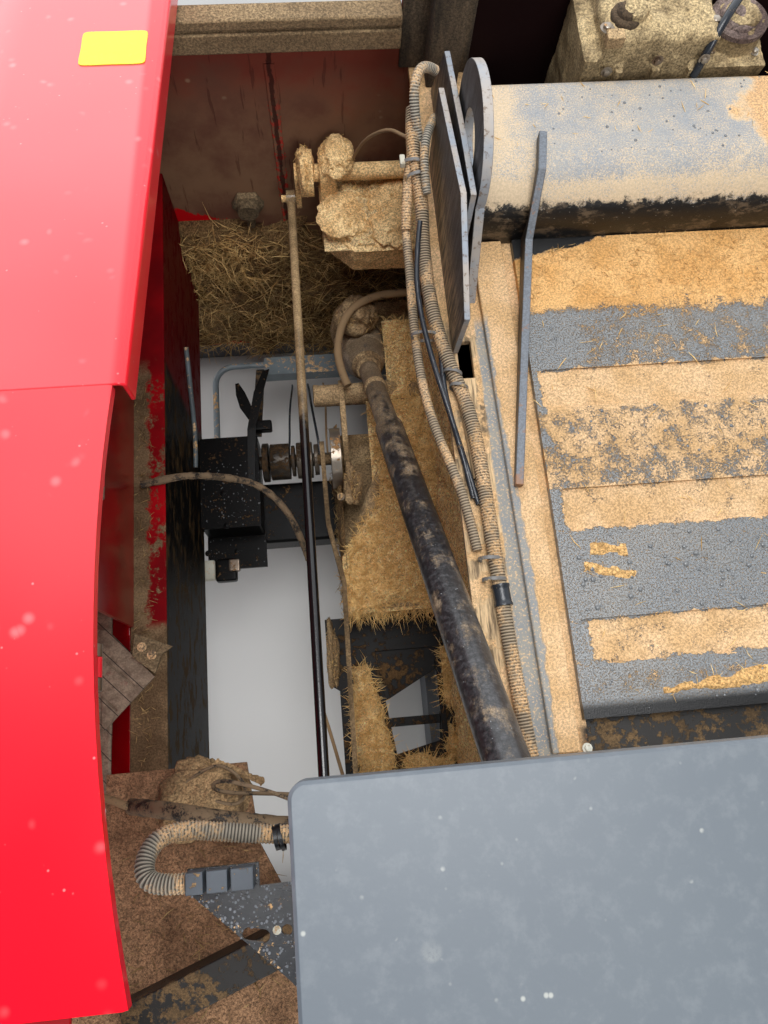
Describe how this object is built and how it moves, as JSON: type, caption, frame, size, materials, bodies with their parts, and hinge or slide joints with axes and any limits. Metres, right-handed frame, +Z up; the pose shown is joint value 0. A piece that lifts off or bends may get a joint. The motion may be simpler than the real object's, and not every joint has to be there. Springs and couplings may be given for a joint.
{
  "type": "drive bay section of a large square baler",
  "caption": "Front drive-bay section of a large square baler: open side bay with drives and trip linkage, ribbed deck over the bale chamber, red side shield, grey hood.",
  "frame": {"origin": "under the middle of the section's footprint, on the floor", "axes": "+X to the machine's right, +Y to its front, +Z up"},
  "size_m": [1.8, 2, 1.48],
  "materials": {
    "frame_grey": "satin paint, dusty",
    "deck_grey": "satin paint with sawdust dust",
    "shield_red": "gloss red",
    "hood_grey": "satin",
    "maroon_paint": "dusty dark red paint",
    "black_plastic": "satin",
    "black_paint": "satin, wet",
    "casting": "dusty casting",
    "steel": "worn",
    "conduit": "dusty",
    "hose_rubber": "matte",
    "dusty_paint": "caked in dust"
  },
  "bodies": {
    "frame": {"frame_rails": "frame_grey", "wall_left": "deck_grey", "wall_right": "deck_grey", "deck": "deck_grey", "rear_plate": "deck_grey", "edge_strips": "deck_grey", "cross_beam": "deck_grey", "eye_plates": "frame_grey", "gusset_plates": "frame_grey", "flat_bar": "deck_grey", "bulkhead": "maroon_paint", "top_rail": "dusty_paint", "corner_post": "dusty_paint", "level_sensor": "black_plastic", "main_gearbox": "casting", "side_rail": "black_paint", "side_liner": "dusty_paint", "shield_hinges": "steel", "hood_posts": "frame_grey", "guard_lower": "black_plastic", "guard_upper": "black_plastic", "joint_gearbox": "casting", "top_gearbox": "casting", "trip_bracket": "dusty_paint", "tension_tube": "dusty_paint", "idler_carrier": "dusty_paint", "bent_strap": "dusty_paint", "lower_bracket": "frame_grey", "chain_case": "dusty_paint", "drive_box": "black_paint", "channel_bar": "frame_grey", "pipe_loop": "black_paint", "stay_strap": "black_paint", "conduit_main": "conduit", "conduit_branch": "conduit", "black_cable": "hose_rubber", "hose_across": "hose_rubber", "hose_arch": "hose_rubber", "floor_sheet": "dusty_paint", "step_flap": "dusty_paint", "latch_housing": "dusty_paint", "rear_brace": "frame_grey", "corner_gusset": "black_paint", "connector_blocks": "conduit", "hose_rear": "hose_rubber", "conduit_rear": "conduit", "cross_housing": "black_paint", "lower_shelf": "dusty_paint", "flap_bracket": "dusty_paint", "skirt_sheet": "maroon_paint"},
    "side_shield": {"shield_rear": "shield_red", "shield_front": "shield_red"},
    "hood_lid": {"hood": "hood_grey"},
    "trip_lever": {"trip_shaft": "dusty_paint"},
    "trip_rod": {"linkage_rod": "black_paint"},
    "rear_lever": {"rear_arm": "black_paint"},
    "idler": {"idler_wheel": "steel"},
    "hub": {"hub_shaft": "steel"}
  },
  "joints": [
    {"name": "shield_hinge", "type": "hinge", "parent": "frame", "child": "side_shield", "pos_m": [-0.587, -0.37, 1.35], "axis": [0, 1, 0], "range_deg": [0, 75]},
    {"name": "hood_hinge", "type": "hinge", "parent": "frame", "child": "hood_lid", "pos_m": [0.312, -0.99, 1.45], "axis": [1, 0, 0], "range_deg": [0, 60]},
    {"name": "trip_shaft_turn", "type": "hinge", "parent": "frame", "child": "trip_lever", "pos_m": [-0.25, 0.585, 0.86], "axis": [1, 0, 0], "range_deg": [-20, 20]},
    {"name": "rod_front_pin", "type": "hinge", "parent": "trip_lever", "child": "trip_rod", "pos_m": [-0.389, 0.585, 0.79], "axis": [1, 0, 0], "range_deg": [-20, 20]},
    {"name": "rear_lever_turn", "type": "hinge", "parent": "frame", "child": "rear_lever", "pos_m": [-0.36, -0.7, 1.06], "axis": [1, 0, 0], "range_deg": [-20, 20]},
    {"name": "idler_spin", "type": "hinge", "parent": "frame", "child": "idler", "pos_m": [-0.335, 0.115, 0.55], "axis": [1, 0, 0], "continuous": true},
    {"name": "hub_spin", "type": "hinge", "parent": "frame", "child": "hub", "pos_m": [-0.42, 0.165, 0.415], "axis": [1, 0, 0], "continuous": true}
  ],
  "couplings": [
    {"joint": "rod_front_pin", "follows": "trip_shaft_turn", "ratio": -1},
    {"joint": "rear_lever_turn", "follows": "trip_shaft_turn", "ratio": 1}
  ]
}
